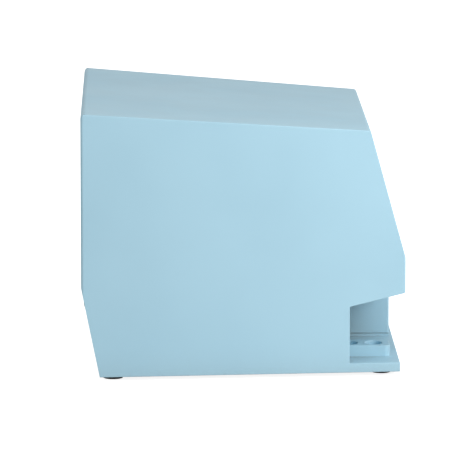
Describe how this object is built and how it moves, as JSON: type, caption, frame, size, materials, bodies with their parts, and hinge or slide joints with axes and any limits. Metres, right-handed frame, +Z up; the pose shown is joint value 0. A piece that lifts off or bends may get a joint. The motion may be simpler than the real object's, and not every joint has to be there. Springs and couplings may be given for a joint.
{
  "type": "parking pay station",
  "caption": "Counter-top parking pay station with a sloped front panel, an open coin niche and tray, card and receipt slots, rear service door and cash box.",
  "frame": {"origin": "on the floor, under the middle of the object's bounding box", "axes": "front faces -Y, +X to the right of a person who stands in front, +Z up"},
  "size_m": [0.3994, 0.319, 0.264],
  "materials": {
    "cover_paint": "satin light blue powder coat",
    "tray_plastic": "satin moulded plastic",
    "flap_plastic": "satin",
    "foot_rubber": "matte",
    "display_glass": "clear gloss over a dark screen",
    "gloss_black": "gloss",
    "dark_plastic": "fine texture",
    "key_plastic": "satin",
    "cancel_plastic": "satin",
    "confirm_plastic": "satin",
    "sheet_steel": "zinc plated sheet",
    "bright_steel": "brushed",
    "motor_metal": "cast",
    "hopper_plastic": "satin",
    "circuit_board": "solder resist",
    "paper": "matte paper"
  },
  "bodies": {
    "cabinet": {"cover_shell": "cover_paint", "base_plate": "cover_paint", "front_panel": "cover_paint", "niche_liner": "cover_paint", "lower_front_housing": "cover_paint", "housing_plinth": "cover_paint", "coin_tray": "tray_plastic", "foot_front_left": "foot_rubber", "foot_front_right": "foot_rubber", "foot_rear_left": "foot_rubber", "foot_rear_right": "foot_rubber", "display_glass": "display_glass", "lcd_module": "dark_plastic", "display_bracket": "sheet_steel", "switch_board": "circuit_board", "contactless_reader": "gloss_black", "card_slot_bezel": "dark_plastic", "card_reader": "dark_plastic", "receipt_slot_bezel": "dark_plastic", "coin_slot_bezel": "bright_steel", "coin_chute": "sheet_steel", "coin_acceptor": "dark_plastic", "cash_deck": "sheet_steel", "hopper_base": "dark_plastic", "hopper_bin": "dark_plastic", "hopper_gearmotor": "motor_metal", "cash_box_guide": "sheet_steel", "printer_frame": "dark_plastic", "print_head": "motor_metal", "paper_roll_holder": "sheet_steel", "electronics_shelf": "sheet_steel", "controller_board": "circuit_board", "power_supply": "sheet_steel", "power_inlet": "dark_plastic", "speaker": "dark_plastic", "hinge_leaf_lower": "bright_steel", "hinge_leaf_upper": "bright_steel", "hinge_pin_lower": "bright_steel", "hinge_pin_upper": "bright_steel", "lock_strike": "sheet_steel", "flap_pin": "bright_steel"},
    "door": {"rear_door": "cover_paint", "lock_body": "bright_steel"},
    "door_lock": {"lock_cam": "bright_steel"},
    "cash_drawer": {"cash_box": "sheet_steel", "cash_box_front": "cover_paint"},
    "coin_flap": {"coin_return_flap": "flap_plastic"},
    "return_button": {"coin_return_button": "bright_steel"},
    "reject_arm": {"reject_lever": "sheet_steel"},
    "menu_key_1": {"menu_button_1": "key_plastic"},
    "menu_key_2": {"menu_button_2": "key_plastic"},
    "menu_key_3": {"menu_button_3": "key_plastic"},
    "menu_key_4": {"menu_button_4": "key_plastic"},
    "cancel_key": {"cancel_button": "cancel_plastic"},
    "confirm_key": {"confirm_button": "confirm_plastic"},
    "receipt_roll": {"paper_roll": "paper"},
    "platen": {"platen_roller": "foot_rubber"},
    "coin_disc": {"hopper_disc": "hopper_plastic"},
    "cutter": {"cutter_blade": "bright_steel"}
  },
  "joints": [
    {"name": "rear_door_hinge", "type": "hinge", "parent": "cabinet", "child": "door", "pos_m": [-0.15, 0.1573, 0.175], "axis": [0, 0, 1], "range_deg": [0, 105]},
    {"name": "door_lock_turn", "type": "hinge", "parent": "door", "child": "door_lock", "pos_m": [0.125, 0.1535, 0.175], "axis": [0, -1, 0], "range_deg": [0, 90]},
    {"name": "cash_drawer_slide", "type": "slide", "parent": "cabinet", "child": "cash_drawer", "axis": [0, 1, 0], "range_m": [0, 0.145]},
    {"name": "coin_flap_hinge", "type": "hinge", "parent": "cabinet", "child": "coin_flap", "pos_m": [-0.11, -0.0878, 0.058], "axis": [-1, 0, 0], "range_deg": [0, 65]},
    {"name": "coin_return_press", "type": "slide", "parent": "cabinet", "child": "return_button", "axis": [0, 1, 0], "range_m": [0, 0.004], "stiffness_N_per_m": 400},
    {"name": "reject_lever_swing", "type": "hinge", "parent": "cabinet", "child": "reject_arm", "pos_m": [-0.076, -0.1315, 0.12], "axis": [1, 0, 0], "range_deg": [0, 13]},
    {"name": "receipt_roll_spin", "type": "hinge", "parent": "cabinet", "child": "receipt_roll", "pos_m": [0.13, -0.0305, 0.052], "axis": [1, 0, 0], "continuous": true},
    {"name": "platen_spin", "type": "hinge", "parent": "cabinet", "child": "platen", "pos_m": [0.13, -0.1265, 0.042], "axis": [1, 0, 0], "continuous": true},
    {"name": "coin_disc_spin", "type": "hinge", "parent": "cabinet", "child": "coin_disc", "pos_m": [-0.11, 0.0245, 0.097], "axis": [0, 0, 1], "continuous": true},
    {"name": "cutter_stroke", "type": "slide", "parent": "cabinet", "child": "cutter", "axis": [0, 0, -1], "range_m": [0, 0.009], "stiffness_N_per_m": 200, "springref_m": -0.005},
    {"name": "menu_key_1_press", "type": "slide", "parent": "cabinet", "child": "menu_key_1", "axis": [0, 0.9638, -0.2667], "range_m": [0, 0.0015], "stiffness_N_per_m": 400},
    {"name": "menu_key_2_press", "type": "slide", "parent": "cabinet", "child": "menu_key_2", "axis": [0, 0.9638, -0.2667], "range_m": [0, 0.0015], "stiffness_N_per_m": 400},
    {"name": "menu_key_3_press", "type": "slide", "parent": "cabinet", "child": "menu_key_3", "axis": [0, 0.9638, -0.2667], "range_m": [0, 0.0015], "stiffness_N_per_m": 400},
    {"name": "menu_key_4_press", "type": "slide", "parent": "cabinet", "child": "menu_key_4", "axis": [0, 0.9638, -0.2667], "range_m": [0, 0.0015], "stiffness_N_per_m": 400},
    {"name": "cancel_key_press", "type": "slide", "parent": "cabinet", "child": "cancel_key", "axis": [0, 0.9638, -0.2667], "range_m": [0, 0.0015], "stiffness_N_per_m": 400},
    {"name": "confirm_key_press", "type": "slide", "parent": "cabinet", "child": "confirm_key", "axis": [0, 0.9638, -0.2667], "range_m": [0, 0.0015], "stiffness_N_per_m": 400}
  ],
  "couplings": [
    {"joint": "reject_lever_swing", "follows": "coin_return_press", "rad_per_m": 55},
    {"joint": "platen_spin", "follows": "receipt_roll_spin", "ratio": 4.5714}
  ]
}
